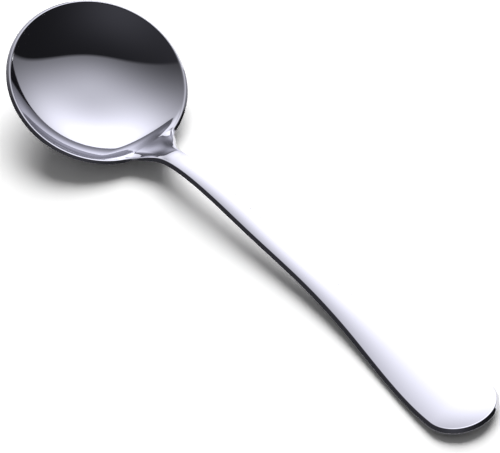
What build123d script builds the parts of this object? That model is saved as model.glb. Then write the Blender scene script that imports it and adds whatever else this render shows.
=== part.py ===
from build123d import *
import os
from math import atan2, cos, radians, sin, sqrt, tan

# A round-bowled soup spoon lying on a table. Millimetres.
# X runs from the bowl to the handle's end, Z is up and the table is at Z = 0.
# The origin is on the table, at the middle of the spoon's length.

# The whole spoon and its bowl
overall_length = 176.2
rim_diameter = 49.0      # at the top of the lip, the edge adds a little outside it
bowl_depth = 7.8         # inside, below the rim's plane
bowl_roundness = 1.0     # part of the depth that is a round curve, the rest keeps the bottom flat
bowl_floor = 2.5         # thickness in the middle
bowl_tilt = 21.0         # degrees that the front lip is raised

# The edge all round the spoon: it slopes outward from the top, then turns under
edge_out = 0.7
edge_drop = 0.9
lip_thickness = 1.3      # of the bowl's edge
lip_tuck = 0.1           # how far that edge turns under
edge_thickness = 2.4     # of the handle's edge
edge_tuck = 0.5

# The top of the handle's edge, from the bowl to the end: its width, its height above the table, and its
# distance behind the bowl's back edge or before the handle's end
root_width = 17.0        # where the handle leaves the rim
throat_width = 9.6
throat_height = 5.2
throat_behind = 1.6
collar_width = 6.5
collar_height = 6.9
collar_behind = 5.4
neck_width = 5.4
neck_height = 8.2
neck_behind = 10.1
arch_width = 5.2
arch_height = 8.9
arch_behind = 19.3
waist_width = 5.5        # half way between the arch and the taper
waist_height = 6.9
taper_width = 6.3
taper_height = 5.1
taper_before = 64.8
blade_width = 9.6
blade_height = 3.6
blade_before = 46.8
heel_width = 17.5        # where the handle touches the table
heel_before = 22.8
end_width = 20.4
end_before = 8.7         # where the round end begins
end_lift = 0.6           # underside above the table there
tip_lift = 1.5           # and at the tip
end_fullness = 0.55      # 0.55 makes the round end an ellipse, more makes it squarer

# The handle's section has a crowned top and a slightly hollow underside
crown_slope = 0.25       # slope of the top at its edges
crown_fade = 0.95        # share of the crown that is gone at the tip
hollow_slope = 0.1       # slope of the underside at its edges
section_count = 40

rim_radius = rim_diameter / 2
lip_radius = rim_radius + edge_out - lip_tuck
tilt = radians(bowl_tilt)
# Inside and underneath, the bowl's curve is the depth less a square and a cube of the distance from its axis.
# The underside touches the table where its slope is the tilt.
under_depth = bowl_depth + bowl_floor
under_cube = under_depth - lip_thickness - bowl_roundness
touch = sqrt(bowl_roundness ** 2 + 3 * under_cube * lip_radius * tan(tilt)) - bowl_roundness
touch = touch / (3 * under_cube)
touch_depth = under_depth - bowl_roundness * touch ** 2 - under_cube * touch ** 3
rim_height = sin(tilt) * touch * lip_radius + cos(tilt) * touch_depth

bowl_x = -overall_length / 2 + lip_radius * cos(tilt) + lip_thickness * sin(tilt)
bowl_back = bowl_x + rim_radius * cos(tilt)
tip_x = overall_length / 2 - edge_out
collar_x = bowl_back + collar_behind
arch_x = bowl_back + arch_behind
taper_x = tip_x - taper_before
end_x = tip_x - end_before
end_half = end_width / 2
end_rise = atan2(tip_lift - end_lift, end_before)

rim_plane = Plane(
    origin=(bowl_x, 0, rim_height),
    x_dir=(cos(tilt), 0, -sin(tilt)),
    z_dir=(sin(tilt), 0, cos(tilt)),
)
root_half = root_width / 2
root_reach = sqrt(rim_radius ** 2 - root_half ** 2)
root_corner = rim_plane.from_local_coords(Vector(root_reach, root_half, 0))
root_plane = Plane(
    origin=rim_plane.from_local_coords(Vector(root_reach, 0, 0)),
    x_dir=(0, 1, 0),
    z_dir=rim_plane.x_dir,
)
root_share = root_reach / rim_radius
root_sag = bowl_depth - bowl_roundness * root_share ** 2 - (bowl_depth - bowl_roundness) * root_share ** 3
root_slope = -2 * root_sag / root_half

os.makedirs("parts", exist_ok=True)


def section(plane, half, out, tuck, thickness, top_slope, bottom_slope):
    """A cross-section with parabolas above and below that have these slopes at the edges. Each edge slopes
    outward from the top by `out` and then turns under by `tuck`."""
    low = half + out - tuck
    with BuildSketch(plane) as face:
        with BuildLine():
            Bezier((-half, 0), (0, top_slope * half), (half, 0))
            Polyline((half, 0), (half + out, -edge_drop), (low, -thickness))
            Bezier((low, -thickness), (0, bottom_slope * low - thickness), (-low, -thickness))
            Polyline((-low, -thickness), (-half - out, -edge_drop), (-half, 0))
        make_face()
    return face.sketch.face()


def end_outline(height, grow):
    """The handle's round end in plan, `grow` larger all round, open and wide towards the bowl."""
    far = overall_length
    half = end_half + grow
    reach = end_before / cos(end_rise) + grow
    with BuildSketch(end_plane.offset(height)) as face:
        with BuildLine():
            Polyline((0, half), (-far, far), (-far, -far), (0, -half))
            Bezier((0, -half), (end_fullness * reach, -half), (reach, -end_fullness * half), (reach, 0))
            Bezier((reach, 0), (reach, end_fullness * half), (end_fullness * reach, half), (0, half))
        make_face()
    return face.sketch.face()


# Bowl: the dish turned about the rim's axis from a profile at its front, cut off where the handle begins
with BuildPart() as bowl:
    with BuildSketch(Plane(origin=rim_plane.origin, x_dir=-rim_plane.x_dir, z_dir=(0, 1, 0))):
        with BuildLine():
            Bezier(
                (0, -bowl_depth),
                (rim_radius / 3, -bowl_depth),
                (2 * rim_radius / 3, bowl_roundness / 3 - bowl_depth),
                (rim_radius, 0),
            )
            Polyline((rim_radius, 0), (rim_radius + edge_out, -edge_drop), (lip_radius, -lip_thickness))
            Bezier(
                (lip_radius, -lip_thickness),
                (2 * lip_radius / 3, bowl_roundness / 3 - under_depth),
                (lip_radius / 3, -under_depth),
                (0, -under_depth),
            )
            Line((0, -under_depth), (0, -bowl_depth))
        make_face()
    revolve(axis=Axis(rim_plane.origin, rim_plane.z_dir))
    split(bisect_by=root_plane, keep=Keep.BOTTOM)
bowl.part.label = "bowl"
export_step(bowl.part, "parts/bowl.step")

# The top of the handle's edge on one side, a smooth line that leaves the bowl along its rim
with BuildLine() as top_edge:
    Spline(
        root_corner,
        (bowl_back + throat_behind, throat_width / 2, throat_height),
        (collar_x, collar_width / 2, collar_height),
        (bowl_back + neck_behind, neck_width / 2, neck_height),
        (arch_x, arch_width / 2, arch_height),
        ((arch_x + taper_x) / 2, waist_width / 2, waist_height),
        (taper_x, taper_width / 2, taper_height),
        (tip_x - blade_before, blade_width / 2, blade_height),
        (tip_x - heel_before, heel_width / 2, edge_thickness),
        (end_x, end_half, edge_thickness + end_lift),
        (tip_x + edge_out, end_half, edge_thickness + tip_lift + edge_out * tan(end_rise)),
        tangents=(Vector(root_half * cos(tilt), -root_reach, -root_half * sin(tilt)), (1, 0, tan(end_rise))),
        tangent_scalars=(1, 1),
    )

# Handle: a loft along that edge from the bowl's cut face, carried on past the tip and then rounded in plan.
# Where the edge runs slantwise, each section shows it wider.
sections = bowl.faces().filter_by(GeomType.PLANE)
edge = top_edge.line.edge()
for step in range(1, section_count + 1):
    edge_point = edge.position_at(step / section_count)
    edge_way = edge.tangent_at(step / section_count)
    slant = sqrt(edge_way.X ** 2 + edge_way.Y ** 2) / edge_way.X
    flare = min(1, (edge_point.X - root_corner.X) / (collar_x - root_corner.X))
    end_share = min(1, max(0, (edge_point.X - end_x) / end_before))
    top_slope = crown_slope * (1 - crown_fade * end_share ** 2)
    sections.append(
        section(
            Plane(origin=(edge_point.X, 0, edge_point.Z), x_dir=(0, 1, 0), z_dir=(1, 0, 0)),
            edge_point.Y,
            slant * edge_out,
            slant * (lip_tuck + (edge_tuck - lip_tuck) * flare),
            lip_thickness + (edge_thickness - lip_thickness) * flare,
            root_slope + (top_slope - root_slope) * flare,
            root_slope + (hollow_slope - root_slope) * flare,
        )
    )
end_plane = Plane(
    origin=(end_x, 0, edge_thickness + end_lift),
    x_dir=(cos(end_rise), 0, sin(end_rise)),
    z_dir=(-sin(end_rise), 0, cos(end_rise)),
)
with BuildPart() as round_end:
    loft(
        sections=[
            end_outline(overall_length, 0),
            end_outline(0, 0),
            end_outline(-edge_drop, edge_out),
            end_outline(-edge_thickness, edge_out - edge_tuck),
            end_outline(-overall_length, edge_out - edge_tuck),
        ],
        ruled=True,
    )
with BuildPart() as handle:
    loft(sections=sections)
    add(round_end.part, mode=Mode.INTERSECT)
handle.part.label = "handle"
export_step(handle.part, "parts/handle.step")
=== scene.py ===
"""A round-bowled soup spoon of mirror polished stainless steel, lying on a white table in a light tent."""
import math

import bpy
import numpy as np
from mathutils import Matrix, Vector


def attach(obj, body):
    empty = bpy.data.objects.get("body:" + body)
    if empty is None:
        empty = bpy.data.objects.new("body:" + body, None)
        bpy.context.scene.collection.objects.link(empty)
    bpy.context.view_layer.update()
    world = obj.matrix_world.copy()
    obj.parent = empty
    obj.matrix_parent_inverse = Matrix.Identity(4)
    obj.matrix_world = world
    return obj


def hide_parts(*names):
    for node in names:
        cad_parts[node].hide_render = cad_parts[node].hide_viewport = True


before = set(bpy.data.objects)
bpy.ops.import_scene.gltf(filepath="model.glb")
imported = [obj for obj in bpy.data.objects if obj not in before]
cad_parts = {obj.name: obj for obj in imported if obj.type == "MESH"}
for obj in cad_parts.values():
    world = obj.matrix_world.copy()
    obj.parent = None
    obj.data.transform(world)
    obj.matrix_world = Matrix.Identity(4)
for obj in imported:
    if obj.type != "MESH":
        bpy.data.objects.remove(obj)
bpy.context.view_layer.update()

MM = 0.001
tiny = 1e-6              # keeps a division by no width finite

# Driving sizes in millimetres. X runs from the bowl to the handle's end, Z is up and the table is at Z = 0.
overall_length = 176.2
rim_diameter = 49.0      # at the top of the lip
bowl_depth = 7.8         # inside, below the rim's plane
bowl_roundness = 1.0     # part of the depth that is a round curve, the rest keeps the bottom flat
bowl_floor = 2.5         # thickness in the middle
bowl_tilt = math.radians(21.0)

# The edge all round: it slopes outward from the top while it drops, then turns under
edge_out = 0.7
edge_drop = 0.95         # on the handle
lip_drop = 0.75          # on the bowl
back_drop = 0.5          # on the bowl towards the handle
back_start = 4.0         # behind the bowl's middle, where the drop begins to change
back_length = 8.0        # over which it changes
edge_thickness = 2.4
handle_turn = 1.1        # how far the handle's edge turns under
end_turn = 0.35          # and at the round end
lip_thickness = 1.3      # of the bowl's edge before it is ground thin
lip_tuck = 0.1           # how far it turned under
lip_fall = 0.85          # the same two sizes after grinding
lip_turn = 0.25

# The narrow land inside the edge, and the rounds above and below the edge
lip_land = 0.35
lip_lean = 0.25          # slope of the lip's land towards the bowl
handle_land = 0.15
inner_round = 0.2
under_round = 0.4

# Where the edge's crisp top and outer corners begin and end, as shares of the faces beside them
top_begin = 0.6
top_end = 0.2
outer_begin = 0.99
outer_end = 0.015

# The top of the handle's edge, from the bowl to the end: its width, its height above the table, and its
# distance behind the bowl's back edge or before the handle's end
root_width = 17.0        # where the handle leaves the rim
throat_width = 11.2
throat_height = 5.7
throat_behind = 1.6
collar_width = 6.5
collar_height = 6.9
collar_behind = 5.4
neck_width = 5.4
neck_height = 8.2
neck_behind = 10.1
arch_width = 5.2
arch_height = 8.9
arch_behind = 19.3
waist_width = 5.5        # half way between the arch and the taper
waist_height = 6.9
taper_width = 6.3
taper_height = 5.1
taper_before = 64.8
blade_width = 9.6
blade_height = 3.6
blade_before = 46.8
heel_width = 17.5        # where the handle touches the table
heel_before = 22.8
end_width = 20.4
end_before = 8.7         # where the round end begins
end_lift = 0.6           # underside above the table there
tip_lift = 1.5           # and at the tip
end_fullness = 0.55      # 0.55 makes the round end an ellipse, more makes it squarer
crown_slope = 0.235      # slope of the handle's top at its edges
hollow_slope = 0.1       # slope of the handle's underside at its edges

# The dish's back wall is drawn up towards the handle by a ramp, and a little more at two shoulders. Places
# are measured in the rim's plane, behind the bowl's middle and to its sides.
ramp_start = 17.6
ramp_end = 23.0
ramp_height = 0.46
shoulder_start = 20.5
shoulder_inner = 3.0
shoulder_outer = 7.0
shoulder_height = 0.2

# Towards the handle a leaning land cuts that wall off below the lip. Turns are radians away from the handle.
back_lean = 0.5          # slope of the land
root_lean = 0.4          # and its slope next to the handle
root_turn = 0.336        # where the one begins to change to the other
back_turn = 0.56         # where the change ends and the land begins to fade
back_fade = 0.2          # turn over which it fades
land_reach = 3.0         # from the rim, past which the land keeps its depth
crease_round = 0.1       # of the crease between wall and land

# The spine is the middle line of the upper side, X and height, from inside the bowl over the root to the neck
spine_reach = 20.5       # behind the bowl's middle, where it leaves the dish
spine_points = [(-41.3, 4.83), (-38.0, 6.26), (-35.6, 7.27), (-34.4, 7.78)]

rim_radius = rim_diameter / 2
lip_radius = rim_radius + edge_out - lip_tuck
ground_radius = rim_radius + edge_out - lip_turn
under_depth = bowl_depth + bowl_floor
under_cube = under_depth - lip_thickness - bowl_roundness

# The bowl rests on the place where the slope of its underside is the tilt.
touch = math.sqrt(bowl_roundness ** 2 + 3 * under_cube * lip_radius * math.tan(bowl_tilt)) - bowl_roundness
touch = touch / (3 * under_cube)
touch_depth = under_depth - bowl_roundness * touch ** 2 - under_cube * touch ** 3
rim_height = math.sin(bowl_tilt) * touch * lip_radius + math.cos(bowl_tilt) * touch_depth

bowl_x = -overall_length / 2 + lip_radius * math.cos(bowl_tilt) + lip_thickness * math.sin(bowl_tilt)
bowl_back = bowl_x + rim_radius * math.cos(bowl_tilt)
root_half = root_width / 2
root_reach = math.sqrt(rim_radius ** 2 - root_half ** 2)
root_x = bowl_x + root_reach * math.cos(bowl_tilt)
root_z = rim_height - root_reach * math.sin(bowl_tilt)
collar_x = bowl_back + collar_behind
neck_x = bowl_back + neck_behind
arch_x = bowl_back + arch_behind
tip_x = overall_length / 2 - edge_out
taper_x = tip_x - taper_before
blade_x = tip_x - blade_before
end_x = tip_x - end_before
end_half = end_width / 2
end_slope = (tip_lift - end_lift) / end_before

# X, half width and height of the top of the handle's edge
handle_edge = np.array([
    [root_x, root_width, root_z],
    [bowl_back + throat_behind, throat_width, throat_height],
    [collar_x, collar_width, collar_height],
    [neck_x, neck_width, neck_height],
    [arch_x, arch_width, arch_height],
    [0.5 * (arch_x + taper_x), waist_width, waist_height],
    [taper_x, taper_width, taper_height],
    [blade_x, blade_width, blade_height],
    [tip_x - heel_before, heel_width, edge_thickness],
    [end_x, end_width, edge_thickness + end_lift],
    [tip_x + edge_out, end_width, edge_thickness + tip_lift + edge_out * end_slope],
]) * (1, 0.5, 1)


def clamped_curve(knots, values, first_slope, last_slope):
    """Returns a function that gives value and slope of the cubic curve through the values at the knots, with
    both end slopes given and no jump in curvature between: the slopes at the knots solve one set of linear
    equations."""
    step = np.diff(knots)[:, None]
    chord = np.diff(values, axis=0) / step
    count = len(knots)
    matrix = np.eye(count)
    right = np.zeros_like(values)
    right[0] = first_slope
    right[-1] = last_slope
    inner = np.arange(1, count - 1)
    matrix[inner, inner - 1] = step[1:, 0]
    matrix[inner, inner] = 2 * (step[1:, 0] + step[:-1, 0])
    matrix[inner, inner + 1] = step[:-1, 0]
    right[1:-1] = 3 * (step[1:] * chord[:-1] + step[:-1] * chord[1:])
    tangent = np.linalg.solve(matrix, right)

    def curve(t):
        k = np.clip(np.searchsorted(knots, t) - 1, 0, count - 2)
        s = ((t - knots[k]) / step[k, 0])[:, None]
        bend = tangent[k] * step[k] * s * (1 - s) ** 2 - tangent[k + 1] * step[k] * s ** 2 * (1 - s)
        value = values[k] + (values[k + 1] - values[k]) * s ** 2 * (3 - 2 * s) + bend
        ends = tangent[k] * (1 - s) * (1 - 3 * s) + tangent[k + 1] * s * (3 * s - 2)
        return value, 6 * chord[k] * s * (1 - s) + ends

    return curve


def smooth_step(t):
    """0 before 0, 1 after 1, and the curve 6t^5 - 15t^4 + 10t^3 between, which starts and ends level."""
    t = np.clip(t, 0, 1)
    return t ** 3 * (10 - 15 * t + 6 * t * t)


def dish(radius):
    """Height of the dish over the plane of the rim at a distance from its axis: a flat-bottomed curve, the
    depth less a little of the square and mostly the cube of the distance. It ends at the land inside the
    lip."""
    share = radius / (rim_radius - lip_land)
    cube = bowl_depth - bowl_roundness - lip_land * lip_lean
    return -bowl_depth + bowl_roundness * share ** 2 + cube * share ** 3


def dish_underside(radius):
    """The same kind of curve for the bowl's underside, out to the thin lip."""
    share = radius / ground_radius
    cube = under_depth - bowl_roundness - lip_fall
    return -under_depth + bowl_roundness * share ** 2 + cube * share ** 3


def bowl_inside(reach, y):
    """Height of the bowl's inside over the plane of the rim: the dish, plus smooth steps for the ramp of its
    back wall and the two shoulders, less what stands above the leaning land. The square root rounds the
    crease there."""
    radius = np.hypot(reach, y)
    wall = dish(radius) + ramp_height * smooth_step((reach - ramp_start) / (ramp_end - ramp_start))
    shoulder = smooth_step((np.abs(y) - shoulder_inner) / (shoulder_outer - shoulder_inner))
    shoulder = shoulder * smooth_step((reach - shoulder_start) / (ramp_end - shoulder_start))
    wall = wall + shoulder_height * shoulder
    turn = np.arctan2(np.abs(y), reach)
    lean = root_lean + (back_lean - root_lean) * smooth_step((turn - root_turn) / (back_turn - root_turn))
    over = wall + lean * np.minimum(rim_radius - radius, land_reach)
    cut = 0.5 * (over + np.sqrt(over ** 2 + crease_round ** 2))
    return wall - cut * (1 - smooth_step((turn - back_turn) / back_fade))


def weld(points, faces):
    """Joins points that are the same to five decimals, so that poles and seams are closed, and leaves out
    faces with no area."""
    _, first, place = np.unique(np.round(points, 5), axis=0, return_index=True, return_inverse=True)
    faces = place.reshape(-1)[faces]
    same = faces == np.roll(faces, -1, axis=1)
    kept = faces[same.sum(1) == 0].tolist()
    for corner in range(4):
        single = same[:, corner] & (same.sum(1) == 1)
        kept += np.delete(faces[single], corner, axis=1).tolist()
    return points[first], kept


def between(a, b, share):
    """The place that lies a share of the way from one place to another. Places are pairs of arrays: distance
    outside the outline and height over it."""
    return [p + share * (q - p) for p, q in zip(a, b)]


def rounded(start, corner, end, steps):
    """Points of the parabola that rounds a corner between two places, without its last one."""
    t = np.linspace(0, 1, steps, endpoint=False)[None, :]
    return [a[:, None] * (1 - t) ** 2 + b[:, None] * 2 * t * (1 - t) + c[:, None] * t * t
            for a, b, c in zip(start, corner, end)]


def spoon_outline(bowl_rows, handle_rows, end_rows, samples=4000):
    """Top of the edge on one side, from the front of the bowl to the handle's tip, as X, half width and
    height: an arc of the rim, a smooth curve along the handle at equal steps, and a quarter of the round
    end."""
    turn = np.linspace(0, math.pi - math.asin(root_half / rim_radius), bowl_rows)
    reach = -rim_radius * np.cos(turn)
    bowl = np.stack([bowl_x + reach * math.cos(bowl_tilt), rim_radius * np.sin(turn),
                     rim_height - reach * math.sin(bowl_tilt)], axis=1)

    gaps = np.linalg.norm(np.diff(handle_edge, axis=0), axis=1)
    knots = np.concatenate([[0], np.cumsum(gaps)])
    leave = np.array([root_half * math.cos(bowl_tilt), -root_reach, -root_half * math.sin(bowl_tilt)])
    finish = np.array([1, 0, end_slope]) / math.hypot(1, end_slope)
    edge = clamped_curve(knots, handle_edge, leave / rim_radius, finish)
    fine, _ = edge(np.linspace(0, knots[-1], samples))
    length = np.concatenate([[0], np.cumsum(np.linalg.norm(np.diff(fine, axis=0), axis=1))])
    steps = np.linspace(0, np.interp(end_x, fine[:, 0], length), handle_rows + 1)[1:]
    handle = np.stack([np.interp(steps, length, fine[:, k]) for k in range(3)], axis=1)

    t = np.sin(np.linspace(0, math.pi / 2, end_rows + 1)[1:])
    x = end_x + end_before * (3 * t * (1 - t) ** 2 * end_fullness + 3 * t * t * (1 - t) + t ** 3)
    half = end_half * ((1 - t) ** 3 + 3 * t * (1 - t) ** 2 + 3 * t * t * (1 - t) * end_fullness)
    end = np.stack([x, half, np.interp(x, fine[:, 0], fine[:, 2])], axis=1)
    return np.concatenate([bowl, handle, end]).T


def outline_ways(x, half, z, reach, in_bowl):
    """Direction along the spoon at each row, as shares of X and Z, and the outline's outward direction, as
    shares along and across the spoon: square to the outline, and in the bowl along the rim's radius."""
    step_x, step_z = np.gradient(x), np.gradient(z)
    step = np.hypot(step_x, step_z)
    slant = np.hypot(step, np.gradient(half))
    out_along, out_across = -np.gradient(half) / slant, step / slant
    out_along[in_bowl], out_across[in_bowl] = reach[in_bowl] / rim_radius, half[in_bowl] / rim_radius
    out_along[-1], out_across[-1] = 1, 0
    return step_x / step, step_z / step, out_along, out_across


def spine_curve(x, crown_z, dish_step=0.01, neck_step=0.5):
    """Height of the upper side's middle line by X: a smooth curve from the bowl's back wall through the
    spine's points to the handle's crown at the neck, with the slopes of wall and crown at its ends."""
    deep = bowl_inside(spine_reach, 0)
    rise = bowl_inside(spine_reach + dish_step, 0) - bowl_inside(spine_reach - dish_step, 0)
    start_slope = math.tan(math.atan(rise / (2 * dish_step)) - bowl_tilt)
    start_x = bowl_x + spine_reach * math.cos(bowl_tilt) + deep * math.sin(bowl_tilt)
    start_z = rim_height - spine_reach * math.sin(bowl_tilt) + deep * math.cos(bowl_tilt)
    end_z, before, after = np.interp([neck_x, neck_x - neck_step, neck_x + neck_step], x, crown_z)
    places = np.array([(start_x, start_z), *spine_points, (neck_x, end_z)])
    return clamped_curve(places[:, 0], places[:, 1:], start_slope, (after - before) / (2 * neck_step))


def rise_to_spine(spine, rise, x, z, up_x, up_z, tries=12):
    """Distance from each place, along its row's own upward direction, at which the spine is met. Each try
    follows the spine's slope from the last one, which is Newton's method."""
    for _ in range(tries):
        height, slope = spine(x + rise * up_x)
        miss = z + rise * up_z - height[:, 0]
        rise = rise - miss / (up_z - up_x * slope[:, 0])
    return rise


def edge_section(start, land_corner, outer_corner, low_corner, end):
    """Each row's edge from the upper to the under side, as distance outside the outline and height over it:
    the land, a crisp top corner on the outline, the slope, a crisp outer corner and a soft lower one. Each
    corner is a parabola."""
    top_corner = (np.zeros_like(end[0]), np.zeros_like(end[0]))
    before_top = between(land_corner, top_corner, top_begin)
    after_top = between(top_corner, outer_corner, top_end)
    before_outer = between(top_corner, outer_corner, outer_begin)
    after_outer = between(outer_corner, low_corner, outer_end)
    runs = [
        rounded(start, land_corner, before_top, steps=8),
        rounded(before_top, top_corner, after_top, steps=6),
        rounded(after_top, between(after_top, before_outer, 0.5), before_outer, steps=3),
        rounded(before_outer, outer_corner, after_outer, steps=6),
        rounded(after_outer, low_corner, end, steps=6),
    ]
    return [np.concatenate([run[k] for run in runs], axis=1)[:, 1:] for k in range(2)]


def spoon_surface(bowl_rows=220, handle_rows=240, end_rows=70, across=84, under=40):
    """The whole spoon as one closed section carried along it, from the front lip to the handle's tip.
    Each row hangs on two opposite points of the outline. Its upper side is the dish with a low spine that
    climbs to the handle, then the handle's shallow crown, a parabola. Its edges follow the outline's own
    direction, and its under side is the bowl's outer curve, then the handle's slight hollow, a parabola
    too."""
    x, half, z = spoon_outline(bowl_rows, handle_rows, end_rows)
    half[0] = half[-1] = 0
    in_bowl = np.arange(len(x)) < bowl_rows
    reach = (x - bowl_x) / math.cos(bowl_tilt)
    way_x, way_z, out_along, out_across = outline_ways(x, half, z, reach, in_bowl)

    # From the root to the collar each row turns from square to the rim to upright, and the bowl's section
    # fades out. The turn under the edge has changed by the middle of that fade.
    fade = 1 - smooth_step((x - root_x) / (collar_x - root_x))
    up_x, up_z = np.sin(bowl_tilt * fade), np.cos(bowl_tilt * fade)
    drop = lip_drop + (back_drop - lip_drop) * smooth_step((reach - back_start) / back_length)
    drop = edge_drop + (drop - edge_drop) * fade
    thickness = edge_thickness + (lip_fall - edge_thickness) * fade
    tuck = lip_turn + (handle_turn - lip_turn) * smooth_step(2 * (1 - fade))
    tuck = tuck + (end_turn - handle_turn) * smooth_step((x - blade_x) / (end_x - blade_x))
    land = handle_land + (lip_land - handle_land) * fade
    land_height = land * (crown_slope * (1 - fade) - lip_lean * fade)

    # Upper side, starting inside the land: the bowl's inside, whose last row fades into the handle's crown.
    # A crown is as high as half its half width times its edge slope, and it fades out on the round end.
    inside = land + inner_round
    top_half = half - inside * out_across
    top_reach = reach - inside * out_along
    across_share = np.sin(np.linspace(-math.pi / 2, math.pi / 2, across + 1))[None, :]
    y_top = top_half[:, None] * across_share
    crown = np.where(x > end_x, half / end_half, 1) * 0.5 * half
    crowned = (crown_slope * crown)[:, None] * (1 - (y_top / np.maximum(half, tiny)[:, None]) ** 2)
    high = bowl_inside(top_reach[:, None], y_top)
    faded = fade[:, None] * high[bowl_rows - 1] + (1 - fade)[:, None] * crowned
    high = np.where(in_bowl[:, None], high, faded)

    # The spine lifts each row's middle. To the sides the lift falls with the fourth power of the way out.
    spine = spine_curve(x, z + crown_slope * crown)
    on_spine = (top_reach > spine_reach) & (x < neck_x)
    middle = high[on_spine, across // 2]
    spine_x = (x - inside * out_along * way_x)[on_spine]
    spine_z = (z - inside * out_along * way_z)[on_spine]
    lift = np.zeros(len(x))
    lift[on_spine] = rise_to_spine(spine, middle, spine_x, spine_z, up_x[on_spine], up_z[on_spine]) - middle
    high = high + lift[:, None] * (1 - across_share ** 4)

    # Under side, which takes the spine's lift as a parabola.
    low_out = edge_out - tuck - under_round
    low_reach = reach + low_out * out_along
    low_half = half + low_out * out_across
    y_low = low_half[:, None] * np.sin(np.linspace(math.pi / 2, -math.pi / 2, under + 1))[None, :]
    arch = np.maximum(1 - (y_low / np.maximum(low_half, tiny)[:, None]) ** 2, 0)
    root_low = dish_underside(ground_radius - under_round)
    low_side = root_low * fade + (hollow_slope * under_round - edge_thickness) * (1 - fade)
    low_middle = dish_underside(root_reach) * fade + (hollow_slope * crown - edge_thickness) * (1 - fade)
    low = low_side[:, None] + (low_middle - low_side)[:, None] * arch
    low = np.where(in_bowl[:, None], dish_underside(np.hypot(low_reach[:, None], y_low)), low)
    low = low + lift[:, None] * arch

    beyond, fall = edge_section(
        start=(-inside, high[:, -1]),
        land_corner=(-land, land_height),
        outer_corner=(np.full(len(x), edge_out), -drop),
        low_corner=(edge_out - tuck, -thickness),
        end=(low_out, low[:, 0]),
    )

    # The closed section: upper side, one edge, under side, the other edge. Its columns are distance outside
    # the outline, Y and height.
    columns = [
        (np.repeat(-inside[:, None], across + 1, axis=1), y_top, high),
        (beyond, half[:, None] + beyond * out_across[:, None], fall),
        (np.repeat(low_out[:, None], under + 1, axis=1), y_low, low),
        (beyond[:, ::-1], -half[:, None] - beyond[:, ::-1] * out_across[:, None], fall[:, ::-1]),
    ]
    beyond, y, rise = (np.concatenate([column[k] for column in columns], axis=1) for k in range(3))
    along = beyond * out_along[:, None]
    points = np.stack([x[:, None] + along * way_x[:, None] + rise * up_x[:, None], y,
                       z[:, None] + along * way_z[:, None] + rise * up_z[:, None]], axis=-1)
    return grid_surface(points)


def grid_surface(points):
    """Welded points and faces of a grid of points whose rows are closed loops."""
    rows, loop = points.shape[:2]
    index = np.arange(rows * loop).reshape(rows, loop)
    following = np.roll(index, -1, axis=1)
    faces = np.stack([index[:-1], index[1:], following[1:], following[:-1]], axis=-1).reshape(-1, 4)
    return weld(points.reshape(-1, 3), faces)


def tent_surface(radius, below, rings=24, gores=64):
    """A dome over the table that goes on below it by an angle: height is the radius times the sine of the
    rise, and each ring is a full circle."""
    rise = np.linspace(-below, math.pi / 2, rings + 1)[:, None]
    turn = np.linspace(0, 2 * math.pi, gores, endpoint=False)[None, :]
    return grid_surface(radius * np.stack([np.cos(rise) * np.cos(turn), np.cos(rise) * np.sin(turn),
                                           np.sin(rise) + 0 * turn], axis=-1))


def make_piece(name, points, faces, material):
    """A smooth-shaded mesh object from points in millimetres."""
    mesh = bpy.data.meshes.new(name)
    mesh.from_pydata((points * MM).tolist(), [], faces)
    mesh.shade_smooth()
    mesh.update()
    mesh.materials.append(material)
    piece = bpy.data.objects.new(name, mesh)
    bpy.context.scene.collection.objects.link(piece)
    return piece


def linear(hex_colour):
    """Linear colour with alpha from an sRGB hex value."""
    srgb = np.array([int(hex_colour[k:k + 2], 16) for k in (1, 3, 5)]) / 255
    rgb = np.where(srgb <= 0.04045, srgb / 12.92, ((srgb + 0.055) / 1.055) ** 2.4)
    return (*rgb.tolist(), 1.0)


def add_node(tree, kind, settings, sockets):
    """Adds one node with its own settings. Each socket named gets another node's output or a constant."""
    node = tree.nodes.new(kind)
    for key, value in settings.items():
        setattr(node, key, value)
    for key, feed in sockets.items():
        if isinstance(feed, bpy.types.NodeSocket):
            tree.links.new(feed, node.inputs[key])
        else:
            node.inputs[key].default_value = feed
    return node


def new_material(name):
    """An empty node material and its tree."""
    material = bpy.data.materials.new(name)
    material.use_nodes = True
    material.node_tree.nodes.clear()
    return material, material.node_tree


def polished_steel(cloud_size=6.0):
    """Stainless steel, pressed, ground and buffed to a mirror: clear cool reflections, with faint clouding
    left by the polishing mop, in clouds of this size in millimetres."""
    material, tree = new_material("mirror_polished_stainless_steel")
    place = add_node(tree, "ShaderNodeTexCoord", {}, {})
    cloud = add_node(tree, "ShaderNodeTexNoise", {}, {
        "Vector": place.outputs["Object"], "Scale": 1 / (cloud_size * MM), "Detail": 3.0,
    })
    rough = add_node(tree, "ShaderNodeMapRange", {}, {
        "Value": cloud.outputs["Fac"], "From Min": 0.3, "From Max": 0.7, "To Min": 0.03, "To Max": 0.055,
    })
    shader = add_node(tree, "ShaderNodeBsdfPrincipled", {}, {
        "Base Color": linear("#CACAD0"), "Metallic": 1.0, "Roughness": rough.outputs["Result"],
    })
    add_node(tree, "ShaderNodeOutputMaterial", {}, {"Surface": shader.outputs["BSDF"]})
    return material


def direction(zenith_degrees, turn_degrees):
    """Unit vector at an angle from straight up, turned about the vertical from X."""
    zenith, turn = math.radians(zenith_degrees), math.radians(turn_degrees)
    return np.array([math.sin(zenith) * math.cos(turn), math.sin(zenith) * math.sin(turn), math.cos(zenith)])


# Table: a square sheet, just under its plane so that it never cuts the steel, and how much whiter it is shown
table_half = 170.0
table_gap = 0.05
table_lift = 1.2

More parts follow.
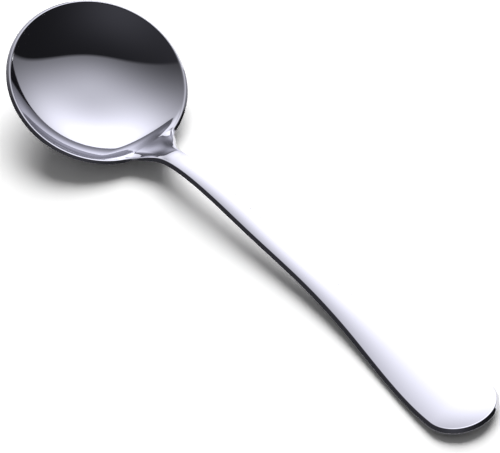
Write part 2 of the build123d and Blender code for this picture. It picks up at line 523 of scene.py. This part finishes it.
# Light tent and lamp, with directions seen from the bowl. The white cloth has a painted glow about one
# direction, and past the seam the dark cloth a weaker painted glow about two; the lamp casts none of it.
tent_radius = 3000.0
tent_below = math.radians(20)
glow_line = direction(54.4, 126.5)
glow_peak = 2.25
glow_narrowness = 3.9
dark_line = direction(68.3, -42.5)
dark_peak = 0.063
dark_narrowness = 4.55
dark_level = 0.0156
side_line = direction(75.0, -121.0)
side_peak = 0.035
side_narrowness = 4.0
seam_normal = np.array([-0.748, 0.555, 0.364])
seam_axis = np.array([0.495, 0.832, -0.2515])
seam_place = 0.127
seam_sag = 0.1
seam_blur = 0.025
lamp_line = direction(39.0, 133.0)
lamp_distance = 2000.0
lamp_width = 2200.0
lamp_power = 58.0
fill_level = 0.16

# Camera, above the handle's end on the near side, for a picture of 500 by 453
camera_azimuth = math.radians(48.177)
camera_elevation = math.radians(47.277)
camera_distance = 1267.26
camera_target = np.array([bowl_x + 58.878, 2.738, 0.2])
picture_width = 500
focal_pixels = 4742.2


def white_table():
    """Matt white paint on a flat board: an even white without gloss."""
    material, tree = new_material("matt_white_table")
    path = add_node(tree, "ShaderNodeLightPath", {}, {})
    seen = add_node(tree, "ShaderNodeMath", {"operation": "MAXIMUM"}, {
        0: path.outputs["Is Camera Ray"], 1: path.outputs["Is Glossy Ray"],
    })
    seen = add_node(tree, "ShaderNodeMath", {"operation": "MAXIMUM"}, {
        0: seen.outputs["Value"], 1: path.outputs["Is Transmission Ray"],
    })
    # Light that bounces between the table and the steel finds it greyer, which keeps the shadow deep.
    direct = add_node(tree, "ShaderNodeMath", {"operation": "LESS_THAN"}, {
        0: path.outputs["Diffuse Depth"], 1: 0.5,
    })
    seen = add_node(tree, "ShaderNodeMath", {"operation": "MULTIPLY"}, {
        0: seen.outputs["Value"], 1: direct.outputs["Value"],
    })
    # Sockets 6 and 7 and output 2 of this node are the ones for colours.
    colour = add_node(tree, "ShaderNodeMix", {"data_type": "RGBA"}, {
        "Factor": seen.outputs["Value"], 6: linear("#909090"), 7: (table_lift, table_lift, table_lift, 1.0),
    })
    shader = add_node(tree, "ShaderNodeBsdfDiffuse", {}, {"Color": colour.outputs[2]})
    add_node(tree, "ShaderNodeOutputMaterial", {}, {"Surface": shader.outputs["BSDF"]})
    return material


def tent_painted_glow():
    """Woven cloth of the light tent around the table, whose light is painted glow: white cloth painted to
    glow about one direction on the lamp's side, and past a seam dark cloth on the camera's side with a weaker
    painted glow about two."""
    material, tree = new_material("light_tent_painted_glow")
    place = add_node(tree, "ShaderNodeTexCoord", {}, {})
    line = add_node(tree, "ShaderNodeVectorMath", {"operation": "NORMALIZE"}, {0: place.outputs["Object"]})

    def glow(way, peak, narrowness):
        """Painted glow that falls off evenly around a direction: peak times exp(narrowness (cosine - 1))."""
        cosine = add_node(tree, "ShaderNodeVectorMath", {"operation": "DOT_PRODUCT"}, {
            0: line.outputs["Vector"], 1: way.tolist(),
        })
        power = add_node(tree, "ShaderNodeMath", {"operation": "MULTIPLY_ADD"}, {
            0: cosine.outputs["Value"], 1: narrowness, 2: math.log(peak) - narrowness,
        })
        light = add_node(tree, "ShaderNodeMath", {"operation": "EXPONENT"}, {0: power.outputs["Value"]})
        return light.outputs["Value"]

    # The cloth's brightness is painted in as emission and stands in for the lamp's light on it.
    white = add_node(tree, "ShaderNodeEmission", {}, {
        "Color": linear("#F6F6FF"), "Strength": glow(glow_line, glow_peak, glow_narrowness),
    })
    front = add_node(tree, "ShaderNodeMath", {"operation": "ADD"}, {
        0: glow(dark_line, dark_peak, dark_narrowness), 1: dark_level,
    })
    level = add_node(tree, "ShaderNodeMath", {"operation": "ADD"}, {
        0: front.outputs["Value"], 1: glow(side_line, side_peak, side_narrowness),
    })
    dark = add_node(tree, "ShaderNodeEmission", {}, {
        "Color": linear("#F0F0FF"), "Strength": level.outputs["Value"],
    })
    # The seam is nearly a straight line on the dome and sags at both ends, with the fourth power of the way
    # along it.
    along = add_node(tree, "ShaderNodeVectorMath", {"operation": "DOT_PRODUCT"}, {
        0: line.outputs["Vector"], 1: seam_axis.tolist(),
    })
    across = add_node(tree, "ShaderNodeVectorMath", {"operation": "DOT_PRODUCT"}, {
        0: line.outputs["Vector"], 1: seam_normal.tolist(),
    })
    ends = add_node(tree, "ShaderNodeMath", {"operation": "POWER"}, {0: along.outputs["Value"], 1: 4.0})
    past = add_node(tree, "ShaderNodeMath", {"operation": "MULTIPLY_ADD"}, {
        0: ends.outputs["Value"], 1: -seam_sag, 2: across.outputs["Value"],
    })
    side = add_node(tree, "ShaderNodeMapRange", {}, {
        "Value": past.outputs["Value"],
        "From Min": seam_place - seam_blur,
        "From Max": seam_place + seam_blur,
    })
    both = add_node(tree, "ShaderNodeMixShader", {}, {
        0: side.outputs["Result"], 1: dark.outputs["Emission"], 2: white.outputs["Emission"],
    })
    add_node(tree, "ShaderNodeOutputMaterial", {}, {"Surface": both.outputs["Shader"]})
    return material


spoon = make_piece("spoon", *spoon_surface(), polished_steel())
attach(spoon, "root")
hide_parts("bowl", "handle")

table_corners = np.array([(-1, -1, 0), (1, -1, 0), (1, 1, 0), (-1, 1, 0)]) * table_half - (0, 0, table_gap)
table = make_piece("table_top", table_corners, [(0, 1, 2, 3)], white_table())

tent = make_piece("light_tent", *tent_surface(tent_radius, tent_below), tent_painted_glow())
tent.location = (bowl_x * MM, 0, 0)
# The tent's painted glow shows only in the steel's reflections, not on the table.
tent.visible_camera = False
tent.visible_diffuse = False

lamp_data = bpy.data.lights.new("lamp", "AREA")
lamp_data.shape = "DISK"
lamp_data.size = lamp_width * MM
lamp_data.energy = lamp_power
lamp = bpy.data.objects.new("lamp", lamp_data)
bpy.context.scene.collection.objects.link(lamp)
lamp.location = Vector(lamp_line * lamp_distance * MM) + Vector((bowl_x * MM, 0, 0))
lamp.rotation_euler = Vector(lamp_line).to_track_quat("Z", "Y").to_euler()
lamp.visible_glossy = False

# Surroundings: white to the camera past the table, and a dim fill for the table's shadows.
world = bpy.data.worlds.new("white_surroundings")
bpy.context.scene.world = world
world.use_nodes = True
background = world.node_tree.nodes["Background"]
background.inputs["Color"].default_value = linear("#FFFFFF")
path = add_node(world.node_tree, "ShaderNodeLightPath", {}, {})
level = add_node(world.node_tree, "ShaderNodeMapRange", {}, {
    "Value": path.outputs["Is Camera Ray"], "To Min": fill_level,
})
world.node_tree.links.new(level.outputs["Result"], background.inputs["Strength"])

back = np.array([math.sin(camera_azimuth) * math.cos(camera_elevation),
                 -math.cos(camera_azimuth) * math.cos(camera_elevation), math.sin(camera_elevation)])
right = np.array([math.cos(camera_azimuth), math.sin(camera_azimuth), 0.0])
up = np.cross(back, right)
lens = bpy.data.cameras.new("camera")
lens.sensor_width = 36.0
lens.lens = focal_pixels * lens.sensor_width / picture_width
camera = bpy.data.objects.new("camera", lens)
bpy.context.scene.collection.objects.link(camera)
stand = Matrix(np.stack([right, up, back], axis=1).tolist()).to_4x4()
stand.translation = ((camera_target + camera_distance * back) * MM).tolist()
camera.matrix_world = stand
bpy.context.scene.camera = camera

bpy.context.scene.view_settings.view_transform = "Standard"
